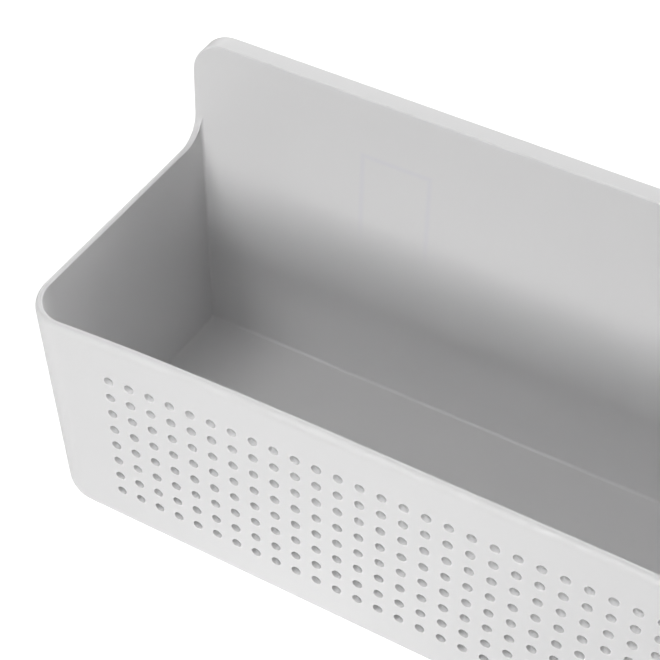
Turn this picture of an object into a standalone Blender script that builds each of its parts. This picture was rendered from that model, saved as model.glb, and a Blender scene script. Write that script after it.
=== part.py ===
"""Wall-hung storage bin with a perforated front, on two adhesive hangers.

X runs along the length, Y from the viewer towards the wall, Z up. The
origin is on the wall, at mid-length, level with the bin's underside.
Lengths are in metres. The bin is one moulding: a drafted tub whose back
wall rises as a tall plate, hollow behind, with a pocket for each hanger.
A hanger is a moulded clip on a square adhesive pad. The bin is lowered on
to the clips and lifts off them.
"""
import math

import bmesh
import bpy
from mathutils import Matrix, Vector

# Bin, outside
RIM_LENGTH = 0.3015
BASE_LENGTH = 0.2974
RIM_DEPTH = 0.1068
BASE_DEPTH = 0.1046
RIM_HEIGHT = 0.0825
PLATE_HEIGHT = 0.1207
RIM_CORNER_RADIUS = 0.0144
BASE_CORNER_RADIUS = 0.0160
BOTTOM_RADIUS = 0.0050
PLATE_CORNER_RADIUS = 0.0130
PLATE_LEAN = 0.0038
BACK_GAP = 0.0003

# Front wall, pulled in at mid-length along the rim
FRONT_BOW = 0.0030
BOW_POWER = 3.5

# Bin, walls
WALL = 0.0022
FLOOR = 0.0024
FLANGE = 0.0022
INNER_BACK_RADIUS = 0.0026
SWEEP_RADIUS = 0.0070

# Perforation
HOLE_PITCH = 0.0072
HOLE_DIAMETER = 0.0032
HOLE_END_MARGIN = 0.0290
HOLE_EDGE_MARGIN = 0.0150

# Hangers
HANGER_SPACING = 0.1500
PAD_SIDE = 0.0600
PAD_THICKNESS = 0.0008
PAD_CORNER_RADIUS = 0.0060
CLIP_BASE_WIDTH = 0.0340
CLIP_BASE_HEIGHT = 0.0440
CLIP_BASE_THICKNESS = 0.0012
CLIP_BASE_CORNER_RADIUS = 0.0040
HEAD_WIDTH = 0.0218
HEAD_HEIGHT = 0.0280
HEAD_THICKNESS = 0.0012
HEAD_EDGE = 0.0003

# Pockets behind the plate
POCKET_DROP = 0.0209
POCKET_HEIGHT = 0.0360
POCKET_RIB = 0.0016
POCKET_CEILING = 0.0020
LIP_REACH = 0.0025
LIP_THICKNESS = 0.0010

# Fit and making
CLEARANCE = 0.0003
OVERRUN = 0.0020
WELD = 0.000001

# Counts
CORNER_STEPS = 7
BACK_CORNER_STEPS = 3
BOTTOM_STEPS = 3
PLATE_CORNER_STEPS = 6
SWEEP_STEPS = 6
FLAT_CORNER_STEPS = 6
HOLE_SIDES = 8
COLUMNS_PER_FACET = 2

# Planes of the hanger, from the wall towards the viewer
PAD_FACE = -PAD_THICKNESS
BASE_BACK = PAD_FACE - CLEARANCE
BASE_FACE = BASE_BACK - CLIP_BASE_THICKNESS
LIP_BACK = BASE_FACE - CLEARANCE
LIP_FACE = LIP_BACK - LIP_THICKNESS
HEAD_BACK = LIP_FACE - CLEARANCE
HEAD_FACE = HEAD_BACK - HEAD_THICKNESS

# Heights and widths of the pocket and of the clip's head inside it
POCKET_TOP = PLATE_HEIGHT - POCKET_DROP
HEAD_TOP = POCKET_TOP - POCKET_CEILING - CLEARANCE
HANGER_HEIGHT = HEAD_TOP - HEAD_HEIGHT / 2
CHANNEL_WIDTH = HEAD_WIDTH + 2 * CLEARANCE
POCKET_WIDTH = CHANNEL_WIDTH + 2 * POCKET_RIB
SLOT_WIDTH = CHANNEL_WIDTH - 2 * LIP_REACH
NECK_WIDTH = SLOT_WIDTH - 2 * CLEARANCE

# Finishes
PLASTIC_GREY = (0.72, 0.72, 0.73, 1.0)
PLASTIC_ROUGHNESS = 0.42
CLIP_WHITE = (0.80, 0.81, 0.82, 1.0)
CLIP_ROUGHNESS = 0.30
PAD_TINT = (0.66, 0.72, 0.78, 1.0)
PAD_ROUGHNESS = 0.20


def clear_scene():
    for item in list(bpy.data.objects):
        bpy.data.objects.remove(item, do_unlink=True)


def add_collection(name):
    collection = bpy.data.collections.new(name)
    bpy.context.scene.collection.children.link(collection)
    return collection


def material(name, colour, roughness):
    made = bpy.data.materials.new(name)
    made.use_nodes = True
    shader = made.node_tree.nodes["Principled BSDF"]
    shader.inputs["Base Color"].default_value = colour
    shader.inputs["Roughness"].default_value = roughness
    shader.inputs["Metallic"].default_value = 0.0
    return made


def add_object(name, mesh, collection, finish=None):
    made = bpy.data.objects.new(name, mesh)
    collection.objects.link(made)
    if finish:
        mesh.materials.append(finish)
    return made


def as_cutter(item):
    item.hide_render = True
    item.display_type = "WIRE"
    return item


def combine(target, tool, operation):
    """Boolean of the tool on the target, left as a live modifier."""
    step = target.modifiers.new(tool.name, "BOOLEAN")
    step.operation = operation
    step.solver = "EXACT"
    step.object = tool


def loft(name, rings, collection, finish=None):
    """Closed solid through rings of one count, listed from the lowest up.

    Each ring runs counter-clockwise seen from above. The quads between two
    rings join points of one number, and the end rings are capped.
    """
    count = len(rings[0])
    points = [point for ring in rings for point in ring]
    faces = [tuple(reversed(range(count)))]
    for level in range(len(rings) - 1):
        low = level * count
        for here in range(count):
            there = (here + 1) % count
            faces.append((low + here, low + there, low + count + there, low + count + here))
    top = (len(rings) - 1) * count
    faces.append(tuple(range(top, top + count)))
    mesh = bpy.data.meshes.new(name)
    mesh.from_pydata(points, [], faces)
    return add_object(name, mesh, collection, finish)


def extruded(name, outline, thickness, collection, finish=None):
    """Flat outline in XY as a filled 2D curve, thickened evenly, made a mesh."""
    curve = bpy.data.curves.new(name, "CURVE")
    curve.dimensions = "2D"
    curve.fill_mode = "BOTH"
    curve.extrude = thickness / 2
    spline = curve.splines.new("POLY")
    spline.points.add(len(outline) - 1)
    for point, (across, up) in zip(spline.points, outline):
        point.co = (across, up, 0, 1)
    spline.use_cyclic_u = True
    drawn = bpy.data.objects.new(name, curve)
    bpy.context.scene.collection.objects.link(drawn)
    graph = bpy.context.evaluated_depsgraph_get()
    mesh = bpy.data.meshes.new_from_object(drawn.evaluated_get(graph))
    bpy.data.objects.remove(drawn)
    shape = bmesh.new()
    shape.from_mesh(mesh)
    bmesh.ops.remove_doubles(shape, verts=shape.verts, dist=WELD)
    bmesh.ops.recalc_face_normals(shape, faces=shape.faces)
    shape.to_mesh(mesh)
    shape.free()
    return add_object(name, mesh, collection, finish)


def box(name, size, centre, collection):
    """Box of the given size about the centre."""
    shape = bmesh.new()
    bmesh.ops.create_cube(shape, size=1)
    bmesh.ops.scale(shape, verts=shape.verts, vec=Vector(size))
    bmesh.ops.translate(shape, verts=shape.verts, vec=Vector(centre))
    mesh = bpy.data.meshes.new(name)
    shape.to_mesh(mesh)
    shape.free()
    return add_object(name, mesh, collection)


def arc(centre, radius, start, end, steps):
    """Points of an arc in its own plane, both ends included, angles in degrees."""
    points = []
    for step in range(steps + 1):
        angle = math.radians(start + (end - start) * step / steps)
        points.append((centre[0] + radius * math.cos(angle), centre[1] + radius * math.sin(angle)))
    return points


def rounded_rectangle(width, height, radius, steps):
    """Outline about the origin, with its four corners rounded alike."""
    across = width / 2 - radius
    up = height / 2 - radius
    points = arc((across, -up), radius, -90, 0, steps)
    points += arc((across, up), radius, 0, 90, steps)
    points += arc((-across, up), radius, 90, 180, steps)
    points += arc((-across, -up), radius, 180, 270, steps)
    return points


def rim_share(z):
    """Height as a share of the rim's height, no more than one above the rim."""
    return min(z / RIM_HEIGHT, 1)


def corner_reach(z, radius):
    """How far a round top corner of that radius reaches out from its centre at height z."""
    rise = min(max(z - (PLATE_HEIGHT - PLATE_CORNER_RADIUS), 0), radius)
    return math.sqrt(radius ** 2 - rise ** 2)


def half_length(z):
    """Half the outer length: drafted up to the rim, upright, then round at the top."""
    half = (BASE_LENGTH + (RIM_LENGTH - BASE_LENGTH) * rim_share(z)) / 2
    return half - PLATE_CORNER_RADIUS + corner_reach(z, PLATE_CORNER_RADIUS)


def front_line(z):
    """Y of the front wall's outer face at its two ends."""
    return -(BASE_DEPTH + (RIM_DEPTH - BASE_DEPTH) * rim_share(z))


def corner_radius(z):
    return BASE_CORNER_RADIUS + (RIM_CORNER_RADIUS - BASE_CORNER_RADIUS) * rim_share(z)


def straight_half(z):
    """Half the straight run of the front wall between its corners."""
    return half_length(z) - corner_radius(z)


def bow(x, z):
    """How far the front wall is pulled in: most at mid-length, none at the corners."""
    share = min(abs(x) / straight_half(z), 1)
    return FRONT_BOW * rim_share(z) * (1 - share ** BOW_POWER)


def plate_face(z):
    """Y of the plate's front face, which leans back towards the top."""
    at_pocket = HEAD_FACE - CLEARANCE - WALL
    return at_pocket - PLATE_LEAN * (POCKET_TOP - z) / PLATE_HEIGHT


def hole_places():
    """X of each column and Z of each row, centred on the front wall."""
    shorter = min(BASE_LENGTH, RIM_LENGTH)
    columns = int((shorter - 2 * HOLE_END_MARGIN) / HOLE_PITCH) + 1
    rows = int((RIM_HEIGHT - 2 * HOLE_EDGE_MARGIN) / HOLE_PITCH) + 1
    across = [(column - (columns - 1) / 2) * HOLE_PITCH for column in range(columns)]
    up = [RIM_HEIGHT / 2 + (row - (rows - 1) / 2) * HOLE_PITCH for row in range(rows)]
    return across, up


def facet_edges():
    """X of the front wall's facet edges, each midway between two columns."""
    columns = hole_places()[0]
    edges = [x - HOLE_PITCH / 2 for x in columns[::COLUMNS_PER_FACET]]
    return edges + [columns[-1] + HOLE_PITCH / 2]


def fillet_levels(radius, steps):
    """Height above the bottom and inset from the wall, up a round bottom edge."""
    levels = []
    for step in range(steps + 1):
        angle = math.radians(90 * step / steps)
        levels.append((radius * (1 - math.cos(angle)), radius * (1 - math.sin(angle))))
    return levels


def tub_ring(z, inset, back, back_radius=0):
    """Plan outline at height z, inset from the outer walls and closed at the back."""
    half = half_length(z) - inset
    front = front_line(z) + inset
    radius = corner_radius(z) - inset
    centre_x = half - radius
    centre_y = front + radius
    fit = min(straight_half(z) / straight_half(RIM_HEIGHT), 1) if z > RIM_HEIGHT else 1
    left = arc((-centre_x, centre_y), radius, 180, 270, CORNER_STEPS)
    right = arc((centre_x, centre_y), radius, 270, 360, CORNER_STEPS)
    middle = [(x * fit, front + bow(x * fit, z)) for x in facet_edges()]
    if back_radius:
        away = half - back_radius
        behind = back - back_radius
        steps = BACK_CORNER_STEPS
        closing = arc((away, behind), back_radius, 0, 90, steps)
        closing += arc((-away, behind), back_radius, 90, 180, steps)
    else:
        closing = [(half, back), (-half, back)]
    return [(x, y, z) for x, y in left + middle + right + closing]


def outer_block(collection, finish):
    """Tub and plate as one block, with a round bottom edge and round top corners."""
    rings = []
    for rise, inset in fillet_levels(BOTTOM_RADIUS, BOTTOM_STEPS):
        rings.append(tub_ring(rise, inset, -BACK_GAP))
    rings.append(tub_ring(RIM_HEIGHT, 0, -BACK_GAP))
    for step in range(PLATE_CORNER_STEPS + 1):
        angle = math.radians(90 * step / PLATE_CORNER_STEPS)
        rise = PLATE_CORNER_RADIUS * math.sin(angle)
        rings.append(tub_ring(PLATE_HEIGHT - PLATE_CORNER_RADIUS + rise, 0, -BACK_GAP))
    return loft("storage_bin", rings, collection, finish)


def cavity(collection):
    """Inside of the tub, from the floor to the top of the rim's swept ends."""
    radius = BOTTOM_RADIUS - WALL
    rings = []
    for rise, inset in fillet_levels(radius, BOTTOM_STEPS):
        z = FLOOR + rise
        rings.append(tub_ring(z, WALL + inset, plate_face(z) - inset, INNER_BACK_RADIUS))
    for z in (RIM_HEIGHT, RIM_HEIGHT + SWEEP_RADIUS):
        rings.append(tub_ring(z, WALL, plate_face(z), INNER_BACK_RADIUS))
    return as_cutter(loft("cavity_cutter", rings, collection))


def above_rim(collection):
    """All that is cut away above the rim: level, swept up at the back to the plate."""
    foot = plate_face(RIM_HEIGHT)
    top = PLATE_HEIGHT + OVERRUN
    ahead = -RIM_DEPTH - OVERRUN
    profile = [(ahead, top), (ahead, RIM_HEIGHT)]
    sweep_top = RIM_HEIGHT + SWEEP_RADIUS
    curve = arc((foot - SWEEP_RADIUS, sweep_top), SWEEP_RADIUS, 270, 360, SWEEP_STEPS)
    for y, z in curve[:-1]:
        profile.append((y + plate_face(z) - foot, z))
    profile.append((plate_face(sweep_top), sweep_top))
    profile.append((plate_face(top), top))
    cutter = extruded("above_rim_cutter", profile, RIM_LENGTH + 2 * OVERRUN, collection)
    cutter.matrix_world = Matrix(((0, 0, 1, 0), (1, 0, 0, 0), (0, 1, 0, 0), (0, 0, 0, 1)))
    return as_cutter(cutter)


def recess(collection):
    """Hollow behind the plate, inside a flange that runs all round it."""
    levels = [FLOOR, RIM_HEIGHT]
    radius = PLATE_CORNER_RADIUS - FLANGE
    for step in range(PLATE_CORNER_STEPS + 1):
        angle = math.radians(90 * step / PLATE_CORNER_STEPS)
        levels.append(PLATE_HEIGHT - PLATE_CORNER_RADIUS + radius * math.sin(angle))
    rings = []
    for z in levels:
        straight = half_length(min(z, RIM_HEIGHT)) - PLATE_CORNER_RADIUS
        half = straight + corner_reach(z, radius)
        ahead = plate_face(z) + WALL
        rings.append([(-half, ahead, z), (half, ahead, z), (half, OVERRUN, z), (-half, OVERRUN, z)])
    return as_cutter(loft("recess_cutter", rings, collection))


def perforation(collection):
    """One short prism through the front wall for every hole."""
    across, up = hole_places()
    upright = Matrix.Rotation(math.radians(90), 4, "X")
    turn = Matrix.Rotation(math.radians(180 / HOLE_SIDES), 4, "Z")
    shape = bmesh.new()
    for x in across:
        for z in up:
            middle = front_line(z) + bow(x, z) + WALL / 2
            bmesh.ops.create_cone(
                shape,
                cap_ends=True,
                segments=HOLE_SIDES,
                radius1=HOLE_DIAMETER / 2,
                radius2=HOLE_DIAMETER / 2,
                depth=WALL + 2 * OVERRUN,
                matrix=Matrix.Translation((x, middle, z)) @ upright @ turn,
            )
    mesh = bpy.data.meshes.new("hole_cutter")
    shape.to_mesh(mesh)
    shape.free()
    return as_cutter(add_object("hole_cutter", mesh, collection))


def pocket(side, x, collection):
    """Ribs and lips that take a clip's head, closed at the top, open below."""
    bottom = POCKET_TOP - POCKET_HEIGHT
    half = POCKET_WIDTH / 2
    rings = []
    for z in (bottom, POCKET_TOP):
        ahead = plate_face(z) + WALL / 2
        rings.append([
            (x - half, ahead, z),
            (x + half, ahead, z),
            (x + half, LIP_BACK, z),
            (x - half, LIP_BACK, z),
        ])
    block = as_cutter(loft("pocket_" + side, rings, collection))
    wide = CHANNEL_WIDTH / 2
    narrow = SLOT_WIDTH / 2
    ahead = -BASE_DEPTH / 2
    behind = LIP_BACK + OVERRUN
    slot = []
    for z in (bottom - OVERRUN, POCKET_TOP - POCKET_CEILING):
        slot.append([
            (x - wide, ahead, z),
            (x + wide, ahead, z),
            (x + wide, LIP_FACE, z),
            (x + narrow, LIP_FACE, z),
            (x + narrow, behind, z),
            (x - narrow, behind, z),
            (x - narrow, LIP_FACE, z),
            (x - wide, LIP_FACE, z),
        ])
    combine(block, as_cutter(loft("slot_cutter_" + side, slot, collection)), "DIFFERENCE")
    return block


def storage_bin(parts, cutters, finish):
    body = outer_block(parts, finish)
    combine(body, above_rim(cutters), "DIFFERENCE")
    combine(body, cavity(cutters), "DIFFERENCE")
    combine(body, recess(cutters), "DIFFERENCE")
    for side, x in hanger_places():
        combine(body, pocket(side, x, cutters), "UNION")
    combine(body, perforation(cutters), "DIFFERENCE")
    return body


def hanger_places():
    return (("left", -HANGER_SPACING / 2), ("right", HANGER_SPACING / 2))


def facing_viewer(x, y, z):
    """Place of a flat piece drawn in XY and stood upright, its thickness along Y."""
    return Matrix.Translation((x, y, z)) @ Matrix.Rotation(math.radians(90), 4, "X")


def adhesive_pad(side, x, parts, finish):
    outline = rounded_rectangle(PAD_SIDE, PAD_SIDE, PAD_CORNER_RADIUS, FLAT_CORNER_STEPS)
    pad = extruded("adhesive_pad_" + side, outline, PAD_THICKNESS, parts, finish)
    pad.matrix_world = facing_viewer(x, PAD_FACE / 2, HANGER_HEIGHT)
    return pad


def hanger_clip(side, x, parts, cutters, finish):
    """Base plate, neck and head, joined: the head is wider than the neck."""
    radius = CLIP_BASE_CORNER_RADIUS
    outline = rounded_rectangle(CLIP_BASE_WIDTH, CLIP_BASE_HEIGHT, radius, FLAT_CORNER_STEPS)
    clip = extruded("hanger_clip_" + side, outline, CLIP_BASE_THICKNESS, parts, finish)
    clip.matrix_world = facing_viewer(x, (BASE_BACK + BASE_FACE) / 2, HANGER_HEIGHT)
    neck_back = (BASE_BACK + BASE_FACE) / 2
    neck_face = (HEAD_BACK + HEAD_FACE) / 2
    neck_size = (NECK_WIDTH, neck_back - neck_face, HEAD_HEIGHT - 2 * HEAD_EDGE)
    neck_centre = (x, (neck_back + neck_face) / 2, HANGER_HEIGHT)
    neck = as_cutter(box("clip_neck_" + side, neck_size, neck_centre, cutters))
    head_size = (HEAD_WIDTH, HEAD_THICKNESS, HEAD_HEIGHT)
    head_centre = (x, (HEAD_BACK + HEAD_FACE) / 2, HANGER_HEIGHT)
    head = as_cutter(box("clip_head_" + side, head_size, head_centre, cutters))
    edge = head.modifiers.new("edges", "BEVEL")
    edge.width = HEAD_EDGE
    edge.segments = 1
    combine(clip, neck, "UNION")
    combine(clip, head, "UNION")
    return clip


def add_guide(name, place, pieces, collection):
    """Empty at the given place that carries the pieces without moving them."""
    guide = bpy.data.objects.new(name, None)
    guide.location = place
    collection.objects.link(guide)
    bpy.context.view_layer.update()
    for piece in pieces:
        piece.parent = guide
        piece.matrix_parent_inverse = guide.matrix_world.inverted()


def build():
    clear_scene()
    parts = add_collection("wall_storage_bin")
    cutters = add_collection("cutters")
    plastic = material("light_grey_plastic", PLASTIC_GREY, PLASTIC_ROUGHNESS)
    clip_plastic = material("white_clip_plastic", CLIP_WHITE, CLIP_ROUGHNESS)
    gel = material("clear_adhesive", PAD_TINT, PAD_ROUGHNESS)
    body = storage_bin(parts, cutters, plastic)
    held = []
    for side, x in hanger_places():
        held.append(adhesive_pad(side, x, parts, gel))
        held.append(hanger_clip(side, x, parts, cutters, clip_plastic))
    add_guide("wall_hangers", (0, 0, 0), held, parts)
    add_guide("bin_lift", (0, (HEAD_BACK + HEAD_FACE) / 2, HEAD_TOP), [body], parts)


build()
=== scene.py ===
"""Looks of a wall-hung storage bin with a perforated front, on two adhesive hangers.

Lengths are in metres: X along the bin, Y towards the wall, Z up. The origin is
on the wall, at mid-length, level with the bin's underside.
"""

import bmesh
import bpy
import numpy as np
from mathutils import Matrix, Vector


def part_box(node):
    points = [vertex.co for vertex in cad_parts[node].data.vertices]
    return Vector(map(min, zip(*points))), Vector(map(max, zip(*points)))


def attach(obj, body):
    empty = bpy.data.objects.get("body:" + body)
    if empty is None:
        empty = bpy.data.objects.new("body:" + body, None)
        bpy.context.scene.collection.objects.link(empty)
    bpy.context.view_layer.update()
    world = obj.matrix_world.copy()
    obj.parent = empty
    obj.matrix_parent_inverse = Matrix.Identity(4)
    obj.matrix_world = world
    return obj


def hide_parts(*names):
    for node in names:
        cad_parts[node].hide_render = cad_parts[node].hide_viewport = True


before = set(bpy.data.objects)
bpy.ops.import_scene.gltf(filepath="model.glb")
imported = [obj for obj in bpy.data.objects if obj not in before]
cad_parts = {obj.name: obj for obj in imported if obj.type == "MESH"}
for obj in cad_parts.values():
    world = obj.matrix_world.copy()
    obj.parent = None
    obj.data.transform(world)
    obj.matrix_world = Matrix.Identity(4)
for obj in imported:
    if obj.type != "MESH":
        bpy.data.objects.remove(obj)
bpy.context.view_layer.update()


# Adhesive pads
# Two squares of clear gel under a thin clear film, each with round corners. The
# gel sticks to the wall and bulges a little past the film's groove when pressed on.
HANGER_SPACING = 0.1500
HANGER_HEIGHT = 0.0835
PAD_SIDE = 0.0600
PAD_THICKNESS = 0.0008
PAD_CORNER_RADIUS = 0.0060
GEL_BULGE = 0.00025
FILM_THICKNESS = 0.00025
FILM_INSET_SHARES = (1.4, 1.0, 0.7, 1.0, 1.8)
FILM_DEPTH_SHARES = (0.02, 0.1, 0.5, 0.9, 1.0)
GEL_STATIONS = 7
CORNER_STATIONS = 9
HANGERS = (("left", -HANGER_SPACING / 2), ("right", HANGER_SPACING / 2))
GEL_CLEARNESS = 0.55
GEL_IOR = 1.46
PAD_LIGHT = (0.70, 0.75, 0.80, 1.0)
PAD_DARK = (0.62, 0.68, 0.74, 1.0)
# Paler tone on the gel's rounded edges: a painted highlight
PAD_EDGE_HIGHLIGHT = (0.76, 0.80, 0.84, 1.0)
DRIFT_DETAIL = 3.0
GRAIN_DETAIL = 2.0
GRAIN_ROUGHNESS = 0.6
MERGE_DISTANCE = 0.000002
SHORTEST_STEP = 0.0001
SHARP_ANGLE = 50
# Rounded-edge mask: the bend that counts as a full edge, where the painted highlight starts, and how much
# smoother the edge is
EDGE_BEND = 800.0
EDGE_START = 0.8
EDGE_POLISH = 0.02


def rounded_rings(widths, heights, radii, depths):
    """Rounded rectangles stacked along Y, one for each entry of the four arrays.

    A corner's points are its centre, at half the width or height less the radius,
    plus the radius times the cosine and sine of a quarter turn shared out evenly.
    """
    turn = np.linspace(0, np.pi / 2, CORNER_STATIONS)
    quarter = np.arange(4)[:, None] * np.pi / 2
    angle = np.append((quarter + turn).ravel(), 0)
    middle = np.append((quarter + np.pi / 4 + 0 * turn).ravel(), np.pi / 4)
    side_x = np.sign(np.cos(middle))
    side_z = np.sign(np.sin(middle))
    stacked = (widths, heights, radii, depths)
    widths, heights, radii, depths = (np.asarray(values, float)[:, None] for values in stacked)
    x = side_x * (widths / 2 - radii) + radii * np.cos(angle)
    z = side_z * (heights / 2 - radii) + radii * np.sin(angle)
    return np.stack([x, depths + 0 * x, z], axis=-1)


def closed_mesh(name, grids, caps=()):
    """One mesh of quad grids and flat caps, its shared edges merged and its faces turned outwards.

    A grid is an array (rows, columns, 3) or a batch of them: each quad joins
    four neighbours. A cap is a closed loop of points.
    """
    points, loops, sizes = [], [], []
    first = 0
    for grid in grids:
        batch = grid if grid.ndim == 4 else grid[None]
        count, rows, columns, _ = batch.shape
        index = first + np.arange(count * rows * columns).reshape(count, rows, columns)
        corners = [index[:, :-1, :-1], index[:, :-1, 1:], index[:, 1:, 1:], index[:, 1:, :-1]]
        quad = np.stack(corners, axis=-1)
        points.append(batch.reshape(-1, 3))
        loops.append(quad.reshape(-1))
        sizes.append(np.full(quad.size // 4, 4))
        first += count * rows * columns
    for cap in caps:
        points.append(cap)
        loops.append(first + np.arange(len(cap)))
        sizes.append(np.array([len(cap)]))
        first += len(cap)
    points, loops, sizes = (np.concatenate(parts) for parts in (points, loops, sizes))
    starts = np.cumsum(sizes) - sizes
    mesh = bpy.data.meshes.new(name)
    mesh.vertices.add(len(points))
    mesh.vertices.foreach_set("co", points.astype(np.float32).ravel())
    mesh.loops.add(len(loops))
    mesh.loops.foreach_set("vertex_index", loops.astype(np.int32))
    mesh.polygons.add(len(sizes))
    mesh.polygons.foreach_set("loop_start", starts.astype(np.int32))
    mesh.update(calc_edges=True)
    shape = bmesh.new()
    shape.from_mesh(mesh)
    bmesh.ops.remove_doubles(shape, verts=shape.verts, dist=MERGE_DISTANCE)
    bmesh.ops.dissolve_degenerate(shape, edges=shape.edges, dist=MERGE_DISTANCE / 4)
    bmesh.ops.recalc_face_normals(shape, faces=shape.faces)
    shape.to_mesh(mesh)
    shape.free()
    return mesh


def note_edges(mesh):
    """Store how tightly each place is rounded outwards as the attribute "edge".

    Along a mesh edge the bend, one over the radius, is twice the drop of its far end below
    the near end's tangent plane, over the edge's length squared. A vertex keeps its greatest
    bend as a share of the full one, from nought where it is flat to one.
    """
    places, normals = np.empty((2, len(mesh.vertices), 3), np.float32)
    ends = np.empty((len(mesh.edges), 2), np.int32)
    mesh.vertices.foreach_get("co", places.reshape(-1))
    mesh.vertices.foreach_get("normal", normals.reshape(-1))
    mesh.edges.foreach_get("vertices", ends.reshape(-1))
    bend = np.zeros(len(places))
    for near, far in (ends.T, ends.T[::-1]):
        step = places[far] - places[near]
        length = np.maximum(np.linalg.norm(step, axis=1), SHORTEST_STEP)
        np.maximum.at(bend, near, -2 * (normals[near] * step).sum(axis=1) / length ** 2)
    edge = mesh.attributes.new("edge", "FLOAT", "POINT")
    edge.data.foreach_set("value", np.minimum(bend / EDGE_BEND, 1).astype(np.float32))


def add_piece(name, mesh, body, nodes, finish, sharp=SHARP_ANGLE):
    """Put a finished piece at the origin, ride it on its body and let it stand for the named nodes."""
    note_edges(mesh)
    mesh.shade_smooth()
    mesh.set_sharp_from_angle(angle=np.radians(sharp))
    mesh.materials.append(finish)
    piece = bpy.data.objects.new(name, mesh)
    bpy.context.scene.collection.objects.link(piece)
    even = piece.modifiers.new("even_normals", "WEIGHTED_NORMAL")
    even.mode = "FACE_AREA"
    even.keep_sharp = True
    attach(piece, body)
    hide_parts(*nodes)


def wire(tree, source, target):
    """Link an output socket to an input socket."""
    tree.links.new(source, target)


def surface_group():
    """Shared surface effect: a slow drift of tone, a fine moulded grain and the rounded edges, which carry a
    painted highlight.

    Tone and Grain are noise in object space, at the Drift Scale and the Grain Scale, per metre.
    Edge goes from nought to one where the attribute "edge" goes from the Edge Start to one.
    """
    group = bpy.data.node_groups.new("moulded_surface", "ShaderNodeTree")
    for label in ("Drift Scale", "Grain Scale", "Edge Start"):
        group.interface.new_socket(label, in_out="INPUT", socket_type="NodeSocketFloat")
    for label in ("Tone", "Grain", "Edge"):
        group.interface.new_socket(label, in_out="OUTPUT", socket_type="NodeSocketFloat")
    nodes = group.nodes
    inlet = nodes.new("NodeGroupInput")
    outlet = nodes.new("NodeGroupOutput")
    place = nodes.new("ShaderNodeTexCoord")
    drift = nodes.new("ShaderNodeTexNoise")
    drift.inputs["Detail"].default_value = DRIFT_DETAIL
    grain = nodes.new("ShaderNodeTexNoise")
    grain.inputs["Detail"].default_value = GRAIN_DETAIL
    grain.inputs["Roughness"].default_value = GRAIN_ROUGHNESS
    for noise, label in ((drift, "Drift Scale"), (grain, "Grain Scale")):
        wire(group, place.outputs["Object"], noise.inputs["Vector"])
        wire(group, inlet.outputs[label], noise.inputs["Scale"])
    rounded = nodes.new("ShaderNodeAttribute")
    rounded.attribute_name = "edge"
    on_edge = nodes.new("ShaderNodeMapRange")
    wire(group, rounded.outputs["Fac"], on_edge.inputs["Value"])
    wire(group, inlet.outputs["Edge Start"], on_edge.inputs["From Min"])
    wire(group, drift.outputs["Fac"], outlet.inputs["Tone"])
    wire(group, grain.outputs["Fac"], outlet.inputs["Grain"])
    wire(group, on_edge.outputs["Result"], outlet.inputs["Edge"])
    return group


moulded_surface = surface_group()


def plastic(name, light, dark, edge_highlight_tone, roughness, spread, drift_scale, grain_scale, grain_depth):
    """Moulded plastic: two near tones and a spread of roughness over the drift, and grain in relief.

    Where the shared effect's Edge nears one, it takes a paler edge tone, a painted highlight along the
    rounded edges, and is a little more polished.
    """
    made = bpy.data.materials.new(name)
    made.use_nodes = True
    tree = made.node_tree
    shader = tree.nodes["Principled BSDF"]
    surface = tree.nodes.new("ShaderNodeGroup")
    surface.node_tree = moulded_surface
    surface.inputs["Drift Scale"].default_value = drift_scale
    surface.inputs["Grain Scale"].default_value = grain_scale
    surface.inputs["Edge Start"].default_value = EDGE_START
    tone = tree.nodes.new("ShaderNodeMix")
    tone.data_type = "RGBA"
    tone.inputs["A"].default_value = dark
    tone.inputs["B"].default_value = light
    # Paler tone on rounded edges: a painted highlight
    edge_highlight = tree.nodes.new("ShaderNodeMix")
    edge_highlight.data_type = "RGBA"
    edge_highlight.inputs["B"].default_value = edge_highlight_tone
    gloss = tree.nodes.new("ShaderNodeMapRange")
    gloss.inputs["To Min"].default_value = roughness - spread
    gloss.inputs["To Max"].default_value = roughness + spread
    polish = tree.nodes.new("ShaderNodeMath")
    polish.operation = "MULTIPLY_ADD"
    polish.inputs[1].default_value = -EDGE_POLISH
    relief = tree.nodes.new("ShaderNodeBump")
    relief.inputs["Distance"].default_value = grain_depth
    wire(tree, surface.outputs["Tone"], tone.inputs["Factor"])
    wire(tree, surface.outputs["Tone"], gloss.inputs["Value"])
    wire(tree, surface.outputs["Grain"], relief.inputs["Height"])
    wire(tree, surface.outputs["Edge"], edge_highlight.inputs["Factor"])
    wire(tree, tone.outputs["Result"], edge_highlight.inputs["A"])
    wire(tree, edge_highlight.outputs["Result"], shader.inputs["Base Color"])
    wire(tree, surface.outputs["Edge"], polish.inputs[0])
    wire(tree, gloss.outputs["Result"], polish.inputs[2])
    wire(tree, polish.outputs["Value"], shader.inputs["Roughness"])
    wire(tree, relief.outputs["Normal"], shader.inputs["Normal"])
    return made


clear_gel = plastic(
    "clear_gel", PAD_LIGHT, PAD_DARK, PAD_EDGE_HIGHLIGHT,
    roughness=0.22, spread=0.05, drift_scale=60.0, grain_scale=900.0, grain_depth=0.00006,
)
gel_shader = clear_gel.node_tree.nodes["Principled BSDF"]
gel_shader.inputs["Transmission Weight"].default_value = GEL_CLEARNESS
gel_shader.inputs["IOR"].default_value = GEL_IOR


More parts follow.
